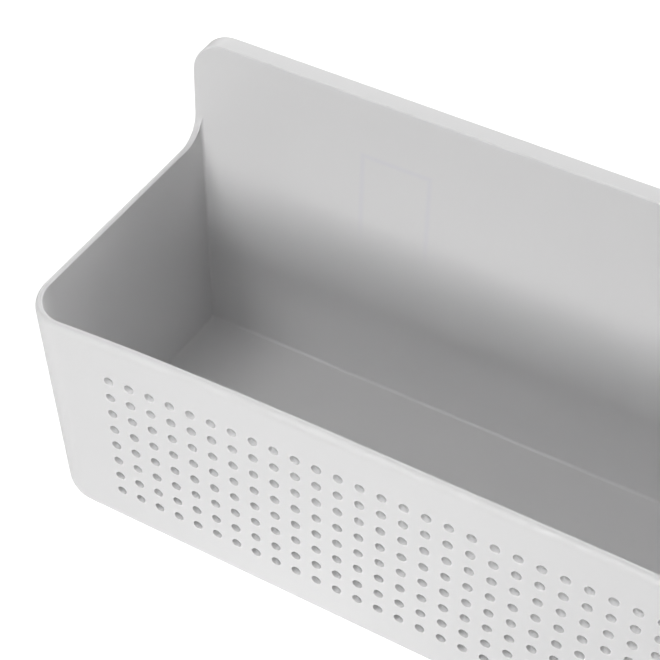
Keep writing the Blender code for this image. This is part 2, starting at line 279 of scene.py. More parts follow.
def pad_mesh(x):
    """Rings from the wall out: the gel's round side, the groove, the film, and a centre point each end.

    The gel's side is half a turn, its inset two bulges less the sine and its depth the
    cosine, and the film's rings are shares of the bulge and of the film's thickness.
    """
    groove = PAD_THICKNESS - FILM_THICKNESS
    swell = np.linspace(0, np.pi, GEL_STATIONS)
    insets = GEL_BULGE * np.concatenate([2 - np.sin(swell), FILM_INSET_SHARES])
    depths = np.concatenate([
        -groove * (1 - np.cos(swell)) / 2,
        -groove - FILM_THICKNESS * np.array(FILM_DEPTH_SHARES),
    ])
    size = np.concatenate([[0], PAD_SIDE - 2 * insets, [0]])
    radii = np.concatenate([[0], PAD_CORNER_RADIUS - insets, [0]])
    depths = np.concatenate([depths[:1], depths, depths[-1:]])
    rings = rounded_rings(size, size, radii, depths)
    return rings + np.array([x, 0, HANGER_HEIGHT])


for side, across in HANGERS:
    mesh = closed_mesh("clear_pad_" + side, [pad_mesh(across)])
    add_piece("clear_pad_" + side, mesh, "wall_hangers", ["adhesive_pad_" + side], clear_gel)


# Hanger clips
# One white moulding each: a base plate bonded to the pad, a neck, and a wider head that
# the bin's pocket slides over. Edges are rounded and the head's face is slightly dished.
CLEARANCE = 0.0003
CLIP_THICKNESS = 0.0012
BASE_BACK = -PAD_THICKNESS - CLEARANCE
BASE_FACE = BASE_BACK - CLIP_THICKNESS
LIP_THICKNESS = 0.0010
LIP_BACK = BASE_FACE - CLEARANCE
LIP_FACE = LIP_BACK - LIP_THICKNESS
HEAD_BACK = LIP_FACE - CLEARANCE
HEAD_FACE = HEAD_BACK - CLIP_THICKNESS
BASE_SIZE = (0.0340, 0.0440, 0.0040)
NECK_SIZE = (0.0168, 0.0274, 0.0010)
HEAD_SIZE = (0.0218, 0.0280, 0.0016)
DISH_SIZE = (0.0160, 0.0220, 0.0020)
DISH_DEPTH = 0.00015
CLIP_EDGE = 0.0003
EDGE_STEPS = 4
CLIP_SHARP_ANGLE = 40
CLIP_LIGHT = (0.82, 0.83, 0.84, 1.0)
CLIP_DARK = (0.78, 0.79, 0.80, 1.0)
# Paler tone on the clip's rounded edges: a painted highlight
CLIP_EDGE_HIGHLIGHT = (0.87, 0.88, 0.89, 1.0)


def edge_rings(size, start, end, edge):
    """Rings round a plate from its back to its face, each edge a quarter circle of the edge's radius."""
    turn = np.linspace(0, np.pi / 2, EDGE_STEPS)
    insets = np.concatenate([edge * (1 - np.sin(turn)), edge * (1 - np.cos(turn))])
    depths = np.concatenate([start - edge * (1 - np.cos(turn)), end + edge * (1 - np.sin(turn))])
    width, height, radius = size
    return np.stack([width - 2 * insets, height - 2 * insets, radius - insets, depths], axis=-1)


def clip_mesh(x):
    """The clip's rings stacked from the pad outwards, closed by a centre point at each end."""
    neck = [(*NECK_SIZE, BASE_FACE - CLIP_EDGE), (*NECK_SIZE, HEAD_BACK)]
    width, height, radius = NECK_SIZE
    foot = [(width + 2 * CLIP_EDGE, height + 2 * CLIP_EDGE, radius + CLIP_EDGE, BASE_FACE)]
    dish = [(*DISH_SIZE, HEAD_FACE), (*(np.array(DISH_SIZE) - 2 * CLIP_EDGE), HEAD_FACE + DISH_DEPTH)]
    table = np.concatenate([
        [(0, 0, 0, BASE_BACK)],
        edge_rings(BASE_SIZE, BASE_BACK, BASE_FACE, CLIP_EDGE),
        foot,
        neck,
        edge_rings(HEAD_SIZE, HEAD_BACK, HEAD_FACE, CLIP_EDGE),
        dish,
        [(0, 0, 0, HEAD_FACE + DISH_DEPTH)],
    ])
    rings = rounded_rings(*table.T)
    return rings + np.array([x, 0, HANGER_HEIGHT])


clip_plastic = plastic(
    "white_clip_plastic", CLIP_LIGHT, CLIP_DARK, CLIP_EDGE_HIGHLIGHT,
    roughness=0.32, spread=0.05, drift_scale=40.0, grain_scale=3200.0, grain_depth=0.00003,
)
for side, across in HANGERS:
    mesh = closed_mesh("clip_" + side, [clip_mesh(across)])
    nodes = ["hanger_clip_" + side]
    add_piece("clip_" + side, mesh, "wall_hangers", nodes, clip_plastic, CLIP_SHARP_ANGLE)


# Storage bin
# One moulding in light grey satin plastic: a drafted tub whose back wall rises as a tall
# plate, hollow behind, with a pocket for each hanger. The front is pierced in a grid.
bin_low, bin_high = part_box("storage_bin")
RIM_LENGTH = bin_high.x - bin_low.x
RIM_DEPTH = -bin_low.y
PLATE_HEIGHT = bin_high.z
BACK_GAP = -bin_high.y
BASE_LENGTH = 0.2974
BASE_DEPTH = 0.1046
RIM_HEIGHT = 0.0825
RIM_CORNER_RADIUS = 0.0144
BASE_CORNER_RADIUS = 0.0160
BOTTOM_RADIUS = 0.0050
PLATE_CORNER_RADIUS = 0.0130
PLATE_LEAN = 0.0038
POCKET_TOP = 0.0998
FRONT_BOW = 0.0030
BOW_POWER = 3.5
WALL = 0.0022
END_EXTRA = 0.0005
FLOOR = 0.0024
FLANGE = 0.0022
INNER_BACK_RADIUS = 0.0008
SWEEP_RADIUS = 0.0090
FLOOR_FILLET = 0.0010

# Rounded edges: how far each reaches in from one face, and down or back along the other
RIM_IN = 0.0019
END_RIM_IN = 0.0012
RIM_DROP = 0.0028
CROWN_IN = 0.0004
CROWN_BACK = 0.0005
INNER_EDGE = 0.0002
BACK_EDGE = 0.0005
HOLE_EDGE = 0.00015
HOLE_INNER_EDGE = 0.00045

# Perforation, for the left half
HOLE_PITCH = 0.0072
HOLE_DIAMETER = 0.0032
HOLE_COLUMNS = 17
HOLE_ROWS = 8
CELL_SEGMENTS = 4

# Stations along each stretch of the walls, and steps round each edge
SWEEP_STATIONS = 15
END_STATIONS = 10
CORNER_TURNS = 20
NEAR_STATIONS = 5
STRIP_STATIONS = 5
PLATE_STATIONS = 22
LOW_STATIONS = 4
UPRIGHT_STATIONS = 6
OUTLINE_TURNS = 16
UNDER_STATIONS = 21
RISE_SHARES = (0, 0.3, 0.6, 0.82, 0.95, 1)
ROUND_STEPS = 8
INNER_STEPS = 4
BOTTOM_STEPS = 9
FILLET_STEPS = 6
BACK_STEPS = 4
BIN_LIGHT = (0.738, 0.735, 0.738, 1.0)
BIN_DARK = (0.720, 0.717, 0.719, 1.0)
# Paler tone on the bin's rounded edges: a painted highlight
BIN_EDGE_HIGHLIGHT = (0.800, 0.797, 0.800, 1.0)


def rim_share(z):
    """Share of the way up to the rim, and one above it."""
    return np.clip(z / RIM_HEIGHT, 0, 1)


def half_length(z):
    """Half the outer length: drafted evenly up to the rim, upright above it."""
    return (BASE_LENGTH + (RIM_LENGTH - BASE_LENGTH) * rim_share(z)) / 2


def front_line(z):
    """Y of the front's outer face at its two ends, drafted evenly up to the rim."""
    return -(BASE_DEPTH + (RIM_DEPTH - BASE_DEPTH) * rim_share(z))


def corner_radius(z):
    """Radius of the front corners in plan, which changes evenly up to the rim."""
    return BASE_CORNER_RADIUS + (RIM_CORNER_RADIUS - BASE_CORNER_RADIUS) * rim_share(z)


def straight_half(z):
    """Half the length of the front between its corners."""
    return half_length(z) - corner_radius(z)


def front_face(x, z):
    """Y of the front's outer face: the end line plus a bow, one less the share of the half to a power."""
    share = np.minimum(np.abs(x) / straight_half(z), 1)
    return front_line(z) + FRONT_BOW * rim_share(z) * (1 - share ** BOW_POWER)


def plate_face(z):
    """Y of the plate's front face, which leans back evenly towards the top."""
    return HEAD_FACE - CLEARANCE - WALL - PLATE_LEAN * (POCKET_TOP - z) / PLATE_HEIGHT


# Places shared by the walls: angles up the swept rim, places along the end, turns round the corner,
# places between the corner and the holes, and the hole field's own lines
half_field = HOLE_COLUMNS * HOLE_PITCH
field_low = RIM_HEIGHT / 2 - HOLE_ROWS * HOLE_PITCH / 2
field_high = RIM_HEIGHT / 2 + HOLE_ROWS * HOLE_PITCH / 2
back_corner_angle = np.arcsin(1 - INNER_BACK_RADIUS / SWEEP_RADIUS)
sweep = np.sort(np.append(np.linspace(0, np.pi / 2, SWEEP_STATIONS), back_corner_angle))[::-1]
along_end = np.linspace(0, 1, END_STATIONS)[1:]
around = np.linspace(0, np.pi / 2, CORNER_TURNS)[1:]
to_field = np.linspace(0, 1, NEAR_STATIONS)[1:]
field_x = np.linspace(-half_field, 0, HOLE_COLUMNS * CELL_SEGMENTS + 1)[1:]
field_z = np.linspace(field_low, field_high, HOLE_ROWS * CELL_SEGMENTS + 1)


def from_end(z, inset, extra=0):
    """Plan of a wall from the sweep's foot to mid-length, at heights z and set in from the outer face.

    Straight along the end, a quarter turn about the corner's centre, then the bowed front. The end
    is set in by the extra too, which fades round the corner with the square of the cosine.
    """
    start = plate_face(z) - SWEEP_RADIUS - np.maximum(inset - WALL, 0)
    corner_y = front_line(z) + corner_radius(z)
    end_y = start + (corner_y - start) * along_end
    end = np.stack([-(half_length(z) - inset - extra) + 0 * end_y, end_y], axis=-1)
    turn = corner_radius(z) - inset - extra * np.cos(around) ** 2
    corner = np.stack([-straight_half(z) - turn * np.cos(around), corner_y - turn * np.sin(around)], axis=-1)
    near_x = -straight_half(z) + (straight_half(z) - half_field) * to_field
    x = np.concatenate([near_x, field_x + 0 * z], axis=1)
    front = np.stack([x, front_face(x, z) + inset], axis=-1)
    return np.concatenate([end, corner, front], axis=1)


def with_height(plan, z):
    """The plan's points with their heights as Z."""
    return np.concatenate([plan, z + 0 * plan[..., :1]], axis=-1)


def lean(z):
    """How far the plate's face has leaned back at height z, from where it meets the rim's level."""
    return PLATE_LEAN * np.maximum(z - RIM_HEIGHT, 0) / PLATE_HEIGHT


foot = plate_face(RIM_HEIGHT)
crown_base = RIM_HEIGHT + SWEEP_RADIUS
strip_shares = np.linspace(0, 1, STRIP_STATIONS)[:-1]
sweep_in = CROWN_IN + (END_RIM_IN - CROWN_IN) * np.cos(sweep) ** 2
sweep_out = CROWN_BACK + (RIM_DROP - CROWN_BACK) * np.cos(sweep) ** 2
outer_back = -BACK_GAP - BACK_EDGE


def outer_wall(z, inset):
    """Outer face of one half at heights z: the plate's edge, the sweep's places, then the wall's plan.

    z has one column for each of the edge's and the sweep's places, then a last one for the rest.
    """
    reach = SWEEP_RADIUS + sweep_out
    y = foot - SWEEP_RADIUS + reach * np.sin(sweep)
    strip_z, sweep_z, rest_z = np.split(z, [len(strip_shares), -1], axis=1)
    strip_y = outer_back + (y[0] + lean(strip_z) - outer_back) * strip_shares
    strip = np.stack([-(half_length(strip_z) - inset), strip_y, strip_z], axis=-1)
    swept = np.stack([-(half_length(sweep_z) - inset), y + lean(sweep_z), sweep_z], axis=-1)
    rest = with_height(from_end(rest_z, inset), rest_z[..., None])
    return np.concatenate([strip, swept, rest], axis=1)


def outer_columns(level):
    """Heights of one row of the outer wall, the same in every column."""
    return np.asarray(level, float)[:, None] + np.zeros(len(strip_shares) + len(sweep) + 1)


rounding = np.linspace(0, np.pi / 2, ROUND_STEPS)
inner_rounding = np.linspace(0, np.pi / 2, INNER_STEPS)
outer_top = np.concatenate([
    np.full(len(strip_shares), crown_base),
    crown_base - (SWEEP_RADIUS + sweep_out) * np.cos(sweep),
    [RIM_HEIGHT - RIM_DROP],
])
fillet = np.linspace(0, np.pi / 2, BOTTOM_STEPS)
low_rows = np.concatenate([
    BOTTOM_RADIUS * (1 - np.cos(fillet)),
    np.linspace(BOTTOM_RADIUS, field_low, LOW_STATIONS)[1:],
])
low_insets = np.concatenate([BOTTOM_RADIUS * (1 - np.sin(fillet)), np.zeros(LOW_STATIONS - 1)])[:, None]
rise = np.array(RISE_SHARES)[:, None]
outer_low = outer_wall(outer_columns(low_rows), low_insets)
outer_mid = outer_wall(outer_columns(field_z), 0)[:, :-len(field_x)]
outer_high = outer_wall(field_high + (outer_top - field_high) * rise, 0)


def inner_corner(z, inset):
    """Upright inner corner at the back: a quarter turn that starts where the sweep's places reach it."""
    along = 1 - SWEEP_RADIUS * (1 - np.sin(sweep)) / INNER_BACK_RADIUS
    turn = np.arcsin(np.clip(along, 0, 1))
    x = -(half_length(z) - inset - END_EXTRA) + INNER_BACK_RADIUS * (1 - np.cos(turn))
    y = plate_face(z) - (inset - WALL) - SWEEP_RADIUS * (1 - np.sin(sweep))
    return x, y


# Rim: a rounded outer edge, a narrow flat and a crisp inner edge, swept up to the plate at the back
def rim_band():
    """Sections across the rim from the outer face's top to the inner's, from the sweep to mid-length.

    On the sweep a point lies at the sweep's radius plus its depth below the edge, at the
    place's angle, and moves straight in from the outer face. Elsewhere the wall's plan is set
    in, and the end's rounding is narrower than the front's.
    """
    round_in = 1 - np.cos(rounding)
    round_down = 1 - np.sin(rounding)
    sharp_in = 1 - np.sin(inner_rounding)
    sharp_down = 1 - np.cos(inner_rounding)
    reach = SWEEP_RADIUS + round_down[:, None] * sweep_out
    z = crown_base - reach * np.cos(sweep)
    y = foot - SWEEP_RADIUS + reach * np.sin(sweep) + lean(z)
    swept_edge = np.stack([-(half_length(z) - round_in[:, None] * sweep_in), y, z], axis=-1)
    sharp = INNER_EDGE * np.cos(sweep)
    low_z = crown_base - SWEEP_RADIUS * np.cos(sweep) - sharp * sharp_down[:, None]
    inner_x, inner_y = inner_corner(low_z, WALL)
    inner_edge = np.stack([inner_x - sharp * sharp_in[:, None], inner_y, low_z], axis=-1)
    flat = (swept_edge[-1:] + inner_edge[:1]) / 2
    swept = np.concatenate([swept_edge, flat, inner_edge])
    insets = np.concatenate([
        RIM_IN * round_in,
        [(RIM_IN + WALL - INNER_EDGE) / 2],
        WALL - INNER_EDGE * sharp_in,
    ])[:, None]
    heights = RIM_HEIGHT - np.concatenate([RIM_DROP * round_down, [0], INNER_EDGE * sharp_down])[:, None]
    narrowed = np.minimum(insets / RIM_IN, (WALL - insets) / (WALL - RIM_IN))
    extras = END_EXTRA * insets / WALL + (END_RIM_IN - RIM_IN) * narrowed
    rest = with_height(from_end(heights, insets, extras), heights[..., None])
    return np.concatenate([swept, rest], axis=1)


plate_shares = np.linspace(0, 1, PLATE_STATIONS)[:-1]


def inner_wall(z, inset):
    """Inner face of one half at heights z: the plate from mid-length, the corner, then the wall's plan.

    z has one column for the plate, one for each of the sweep's places, and a last one for the rest.
    """
    plate_z, sweep_z, rest_z = np.split(z, [1, -1], axis=1)
    reach = half_length(plate_z) - inset - END_EXTRA - INNER_BACK_RADIUS
    plate_x = -reach * plate_shares
    plate_y = plate_face(plate_z) - (inset - WALL)
    plate = np.stack([plate_x, plate_y + 0 * plate_x, plate_z + 0 * plate_x], axis=-1)
    x, y = inner_corner(sweep_z, inset)
    corner = np.stack([x, y, sweep_z + 0 * x], axis=-1)
    rest = with_height(from_end(rest_z, inset, END_EXTRA), rest_z[..., None])
    return np.concatenate([plate, corner, rest], axis=1)


def inner_columns(level):
    """Heights of one row of the inner wall, the same in every column."""
    return np.asarray(level, float)[:, None] + np.zeros(len(sweep) + 2)


inner_top = np.concatenate([
    [crown_base],
    crown_base - SWEEP_RADIUS * np.cos(sweep) - INNER_EDGE * np.cos(sweep),
    [RIM_HEIGHT - INNER_EDGE],
])
inner_turn = np.linspace(0, np.pi / 2, FILLET_STEPS)
inner_rows = np.concatenate([
    FLOOR + FLOOR_FILLET * (1 - np.cos(inner_turn)),
    np.linspace(FLOOR + FLOOR_FILLET, field_low, LOW_STATIONS)[1:],
])
inner_fillet = np.concatenate([FLOOR_FILLET * (1 - np.sin(inner_turn)), np.zeros(LOW_STATIONS - 1)])
inner_insets = WALL + inner_fillet[:, None]
inner_low = inner_wall(inner_columns(inner_rows), inner_insets)
inner_mid = inner_wall(inner_columns(field_z), WALL)[:, :-len(field_x)]
inner_high = inner_wall(field_high + (inner_top - field_high) * rise, WALL)


# Holes: each cell of the field is a square that closes in to a round hole with softened edges
def hole_cells():
    """Rings of every hole: the outer square, in to the hole, through the wall, out to the inner square.

    The first and last rings are the square, and those between are circles of the radii, in which
    a point's angle goes evenly round from the square's corner. Y is the front's face plus the
    ring's depth.
    """
    count = 4 * CELL_SEGMENTS
    step = np.arange(count + 1)
    angle = (step / count - 1 / 8) * 2 * np.pi
    circle = np.stack([np.cos(angle), np.sin(angle)], axis=-1)
    ramp = 2 * (step % CELL_SEGMENTS) / CELL_SEGMENTS - 1
    face = (step // CELL_SEGMENTS) % 4
    square_x = np.choose(face, [np.ones_like(ramp), -ramp, -np.ones_like(ramp), ramp])
    square_z = np.choose(face, [ramp, np.ones_like(ramp), -ramp, -np.ones_like(ramp)])
    square = np.stack([square_x, square_z], axis=-1) * HOLE_PITCH / 2
    radii = HOLE_DIAMETER / 2 + np.array([HOLE_EDGE, 0, 0, HOLE_INNER_EDGE])
    depths = np.array([0, 0, HOLE_EDGE, WALL - HOLE_INNER_EDGE, WALL, WALL])
    rings = np.concatenate([square[None], radii[:, None, None] * circle, square[None]])
    centre_x = -half_field + HOLE_PITCH * (np.arange(HOLE_COLUMNS) + 0.5)
    centre_z = field_low + HOLE_PITCH * (np.arange(HOLE_ROWS) + 0.5)
    centres = np.stack(np.meshgrid(centre_x, centre_z, indexing="ij"), axis=-1).reshape(-1, 1, 1, 2)
    places = centres + rings
    x, z = places[..., 0], places[..., 1]
    y = front_face(x, z) + depths[:, None]
    return np.stack([x, y, z], axis=-1)


# Plate: its face above the rim, its rounded outline, and the flange round the hollow back
crown_half = half_length(RIM_HEIGHT)
corner_x = crown_half - PLATE_CORNER_RADIUS
corner_z = PLATE_HEIGHT - PLATE_CORNER_RADIUS
crown_upright = np.linspace(crown_base, corner_z, UPRIGHT_STATIONS)
crown_turn = np.linspace(0, np.pi / 2, OUTLINE_TURNS)[1:]


def plate_rows():
    """Half-widths and heights of the face's rows inside the rounded edge: upright, then round the corner."""
    inner = PLATE_CORNER_RADIUS - CROWN_IN
    upright_widths = np.full(UPRIGHT_STATIONS, crown_half - CROWN_IN)
    widths = np.concatenate([upright_widths, corner_x + inner * np.cos(crown_turn)])
    heights = np.concatenate([crown_upright, corner_z + inner * np.sin(crown_turn)])
    return widths, heights


band = rim_band()
band_x = band[ROUND_STEPS - 1:ROUND_STEPS + 2, 0, 0]
row_x = np.concatenate([band_x, inner_high[-1, :len(plate_shares), 0][::-1]])
row_share = row_x / row_x[0]
row_width, row_height = plate_rows()
face_x = -row_width[:, None] * row_share
face_z = row_height[:, None] + 0 * face_x
plate_front = np.stack([face_x, plate_face(face_z), face_z], axis=-1)


def crown_outline():
    """Outline above the sweep and its outward direction: up the side, round the corner, along the top."""
    top_x = -corner_x * row_share[1:]
    x = np.concatenate([
        np.full(UPRIGHT_STATIONS, -crown_half),
        -corner_x - PLATE_CORNER_RADIUS * np.cos(crown_turn),
        top_x,
    ])
    z = np.concatenate([
        crown_upright,
        corner_z + PLATE_CORNER_RADIUS * np.sin(crown_turn),
        np.full(len(top_x), PLATE_HEIGHT),
    ])
    way_x = np.concatenate([np.full(UPRIGHT_STATIONS, -1.0), -np.cos(crown_turn), np.zeros(len(top_x))])
    way_z = np.concatenate([np.zeros(UPRIGHT_STATIONS), np.sin(crown_turn), np.ones(len(top_x))])
    return x, z, way_x, way_z


crown_x, crown_z, crown_way_x, crown_way_z = crown_outline()
set_in = (CROWN_IN * (1 - np.cos(rounding)))[:, None]
set_back = (CROWN_BACK * (1 - np.sin(rounding)))[:, None]
edge_x = crown_x - crown_way_x * set_in
edge_z = crown_z - crown_way_z * set_in
plate_edge = np.stack([edge_x, plate_face(edge_z) + set_back, edge_z], axis=-1)
side_shares = np.append(strip_shares, 1)[:, None]
side_front = plate_face(crown_z) + CROWN_BACK
plate_side = np.stack([
    crown_x + 0 * side_shares,
    outer_back + (side_front - outer_back) * side_shares,
    crown_z + 0 * side_shares,
], axis=-1)


def back_path():
    """Outer and inner edges of the flange's back, and the outer edge's outward direction.

    They run from mid-length below, up the side and over to mid-length above.
    """
    base_half = half_length(0) - BOTTOM_RADIUS
    under_x = -base_half * np.linspace(0, 1, UNDER_STATIONS)[:-1]
    side_z = np.concatenate([low_rows, field_z[1:], field_high + (crown_base - field_high) * rise[1:, 0]])
    side_insets = np.pad(low_insets[:, 0], (0, len(side_z) - len(low_insets)))
    side_x = -(half_length(side_z) - side_insets)
    x = np.concatenate([under_x, side_x, crown_x[1:]])
    z = np.concatenate([0 * under_x, side_z, crown_z[1:]])
    up_side = np.ones(len(side_z) - len(fillet))
    way_x = np.concatenate([0 * under_x, -np.sin(fillet), -up_side, crown_way_x[1:]])
    way_z = np.concatenate([0 * under_x - 1, -np.cos(fillet), 0 * up_side, crown_way_z[1:]])
    hollow_half = half_length(FLOOR) - FLANGE
    in_x = np.concatenate([
        under_x * hollow_half / base_half,
        np.full(len(fillet), -hollow_half),
        -(half_length(side_z[len(fillet):]) - FLANGE),
        crown_x[1:] - FLANGE * crown_way_x[1:],
    ])
    in_z = np.concatenate([
        np.full(len(under_x) + len(fillet), FLOOR),
        side_z[len(fillet):],
        crown_z[1:] - FLANGE * crown_way_z[1:],
    ])
    return x, z, way_x, way_z, in_x, in_z


def flange():
    """Rings round the back: the outer edge, a quarter circle, then the flange's inner edge and its foot."""
    x, z, way_x, way_z, in_x, in_z = back_path()
    turn = np.linspace(0, np.pi / 2, BACK_STEPS)[:, None]
    inset = BACK_EDGE * (1 - np.cos(turn))
    outer = np.stack([
        x - way_x * inset,
        outer_back + BACK_EDGE * np.sin(turn) + 0 * x,
        z - way_z * inset,
    ], axis=-1)
    lip = np.stack([in_x, -BACK_GAP + 0 * x, in_z], axis=-1)
    behind = np.stack([in_x, plate_face(in_z) + WALL, in_z], axis=-1)
    return np.concatenate([outer, lip[None], behind[None]])


def mirrored(grid):
    """The grid's mirror image in the plane at mid-length."""
    return grid * np.array([-1.0, 1.0, 1.0])


def whole_loop(half):
    """Closed loop from one half's points and their mirror images, the ends on the middle plane used once."""
    return np.concatenate([half, mirrored(half)[-2:0:-1]])


back = flange()
halves = [
    outer_low, outer_mid, outer_high, band, inner_low, inner_mid, inner_high,
    plate_front, plate_edge, plate_side, back, hole_cells(),
]
under_loop = np.concatenate([back[0, :UNDER_STATIONS - 1], outer_low[0]])
caps = [whole_loop(under_loop), whole_loop(inner_low[0]), whole_loop(back[-1])]
tub_mesh = closed_mesh("tub", halves + [mirrored(grid) for grid in halves], caps)


# Pockets behind the plate: for each hanger, two ribs and a ceiling in one arch with lips turned inwards
POCKET_HEIGHT = 0.0360
POCKET_RIB = 0.0016
POCKET_CEILING = 0.0020
POCKET_ROOT = 0.0008
ARCH_OUTER_RADIUS = 0.0020
ARCH_INNER_RADIUS = 0.0004
LIP_REACH = 0.0025
LIP_ROOT = 0.0008
POCKET_EDGE = 0.0003
ARCH_STATIONS = 7
ARCH_TURNS = 8
channel_half = HEAD_SIZE[0] / 2 + CLEARANCE
pocket_low = POCKET_TOP - POCKET_HEIGHT


def arch_path(half, top, radius):
    """Round-cornered arch in X and Z: up the left side, a quarter turn, in to the middle, then mirrored."""
    turn = np.linspace(0, np.pi / 2, ARCH_TURNS)
    shares = np.linspace(0, 1, ARCH_STATIONS)
    x = np.concatenate([
        np.full(ARCH_STATIONS - 1, -half),
        -half + radius * (1 - np.cos(turn)),
        (-half + radius) * (1 - shares[1:]),
    ])
    z = np.concatenate([
        pocket_low + (top - radius - pocket_low) * shares[:-1],
        top - radius * (1 - np.sin(turn)),
        np.full(ARCH_STATIONS - 1, top),
    ])
    return np.concatenate([x, -x[-2::-1]]), np.concatenate([z, z[-2::-1]])


def capped(grid):
    """The grid closed at both ends, each by a ring shrunk to the mean of that end's points."""
    first, last = (np.broadcast_to(ring[:-1].mean(axis=0), ring.shape) for ring in (grid[0], grid[-1]))
    return np.concatenate([first[None], grid, last[None]])


def pocket_arch(x):
    """A section carried round the arch, each of its points a share of the way from outer to inner path.

    It goes from the plate's back out to the lips' back, over two edges, each a quarter circle,
    and in again. Its root follows the leaning plate.
    """
    outer = arch_path(channel_half + POCKET_RIB, POCKET_TOP, ARCH_OUTER_RADIUS)
    inner = arch_path(channel_half, POCKET_TOP - POCKET_CEILING, ARCH_INNER_RADIUS)
    turn = np.linspace(0, np.pi / 2, EDGE_STEPS)
    share = POCKET_EDGE / POCKET_RIB
    across = np.concatenate([[0], share * (1 - np.cos(turn)), 1 - share * (1 - np.sin(turn)), [1, 0]])
    drop = np.concatenate([[0], POCKET_EDGE * (1 - np.sin(turn)), POCKET_EDGE * (1 - np.cos(turn)), [0, 0]])
    at_root = np.array([True] + [False] * (2 * EDGE_STEPS) + [True, True])
    path_x, path_z = ((start[:, None] + (end - start)[:, None] * across) for start, end in zip(outer, inner))
    root_y = plate_face(path_z) + WALL - POCKET_ROOT
    y = np.where(at_root, root_y, LIP_BACK - drop)
    return capped(np.stack([x + path_x, y, path_z], axis=-1))


def pocket_lip(x, way):
    """A flat bar up one rib, from the rib's middle to the slot: one section at its foot and at its top.

    The section's two edges at the slot are each a quarter circle of the pocket edge's radius.
    """
    turn = np.linspace(0, np.pi / 2, EDGE_STEPS)
    reach = LIP_REACH - POCKET_EDGE
    rounded = POCKET_EDGE * (1 - np.cos(turn))
    section_x = np.concatenate([
        [-LIP_ROOT],
        reach + POCKET_EDGE * np.sin(turn),
        reach + POCKET_EDGE * np.cos(turn),
        [-LIP_ROOT, -LIP_ROOT],
    ])
    section_y = np.concatenate([
        [LIP_BACK],
        LIP_BACK - rounded,
        LIP_FACE + rounded[::-1],
        [LIP_FACE, LIP_BACK],
    ])
    z = np.array([pocket_low, POCKET_TOP - POCKET_CEILING / 2])[:, None] + 0 * section_x
    return capped(np.stack([x + way * (section_x - channel_half) + 0 * z, section_y + 0 * z, z], axis=-1))


def united(name, base, others):
    """The base mesh joined with each of the others in turn, as one closed surface."""
    holders = []
    for mesh in [base] + others:
        holder = bpy.data.objects.new("operand", mesh)
        bpy.context.scene.collection.objects.link(holder)
        holders.append(holder)
    for other in holders[1:]:
        join = holders[0].modifiers.new("join", "BOOLEAN")
        join.operation = "UNION"
        join.solver = "EXACT"
        join.object = other
    graph = bpy.context.evaluated_depsgraph_get()
    joined = bpy.data.meshes.new_from_object(holders[0].evaluated_get(graph))
    joined.name = name
    for holder in holders:
        bpy.data.objects.remove(holder)
    return joined


pockets = []
for _, across in HANGERS:
    arch = closed_mesh("arch", [pocket_arch(across)])
    lips = [closed_mesh("lip", [pocket_lip(across, way)]) for way in (1, -1)]
    pockets.append(united("pocket", arch, lips))
bin_mesh = united("storage_bin_moulding", tub_mesh, pockets)

# Painted shade on the plate's face: faint darker marks where each pocket's ribs and ceiling show through as
# shadow
POCKET_SHADE_TONE = (0.706, 0.703, 0.728, 1.0)
MARK_WIDTH = 0.0016
MARK_FADE_LOW = 0.0610
MARK_FADE_HIGH = 0.0760
MARK_FRONT = -0.0140


def mark_group():
    """Mask of the painted shade: one on an arch-shaped line round each pocket, fading out down its legs.

    In object space, the line is where the distance from the arch, the greater of how far a
    place is beyond its sides and above its top, is near nought.
    """
    group = bpy.data.node_groups.new("pocket_painted_shade", "ShaderNodeTree")
    group.interface.new_socket("Mask", in_out="OUTPUT", socket_type="NodeSocketFloat")
    nodes = group.nodes
    outlet = nodes.new("NodeGroupOutput")
    place = nodes.new("ShaderNodeTexCoord")
    split = nodes.new("ShaderNodeSeparateXYZ")
    wire(group, place.outputs["Object"], split.inputs["Vector"])

    def math(operation, first, second=0.0):
        """Result of one operation on two values, each a number or an output socket."""
        step = nodes.new("ShaderNodeMath")
        step.operation = operation
        for socket, value in zip(step.inputs, (first, second)):
            if isinstance(value, float):
                socket.default_value = value
            else:
                wire(group, value, socket)
        return step.outputs["Value"]

    def ramp(value, low, high):
        """Smooth step from nought at the low value to one at the high one."""
        step = nodes.new("ShaderNodeMapRange")
        step.interpolation_type = "SMOOTHSTEP"
        step.inputs["From Min"].default_value = low
        step.inputs["From Max"].default_value = high
        wire(group, value, step.inputs["Value"])
        return step.outputs["Result"]

    from_hanger = math("SUBTRACT", math("ABSOLUTE", split.outputs["X"]), HANGER_SPACING / 2)
    beyond_side = math("SUBTRACT", math("ABSOLUTE", from_hanger), channel_half + POCKET_RIB / 2)
    above_top = math("SUBTRACT", split.outputs["Z"], POCKET_TOP - POCKET_CEILING / 2)
    line = ramp(math("ABSOLUTE", math("MAXIMUM", beyond_side, above_top)), MARK_WIDTH, 0.0)
    leg = ramp(split.outputs["Z"], MARK_FADE_LOW, MARK_FADE_HIGH)
    at_plate = math("GREATER_THAN", split.outputs["Y"], MARK_FRONT)
    wire(group, math("MULTIPLY", math("MULTIPLY", line, leg), at_plate), outlet.inputs["Mask"])
    return group


satin_plastic = plastic(
    "light_grey_satin_plastic", BIN_LIGHT, BIN_DARK, BIN_EDGE_HIGHLIGHT,
    roughness=0.48, spread=0.04, drift_scale=9.0, grain_scale=2400.0, grain_depth=0.00004,
)
satin_tree = satin_plastic.node_tree
satin_shader = satin_tree.nodes["Principled BSDF"]
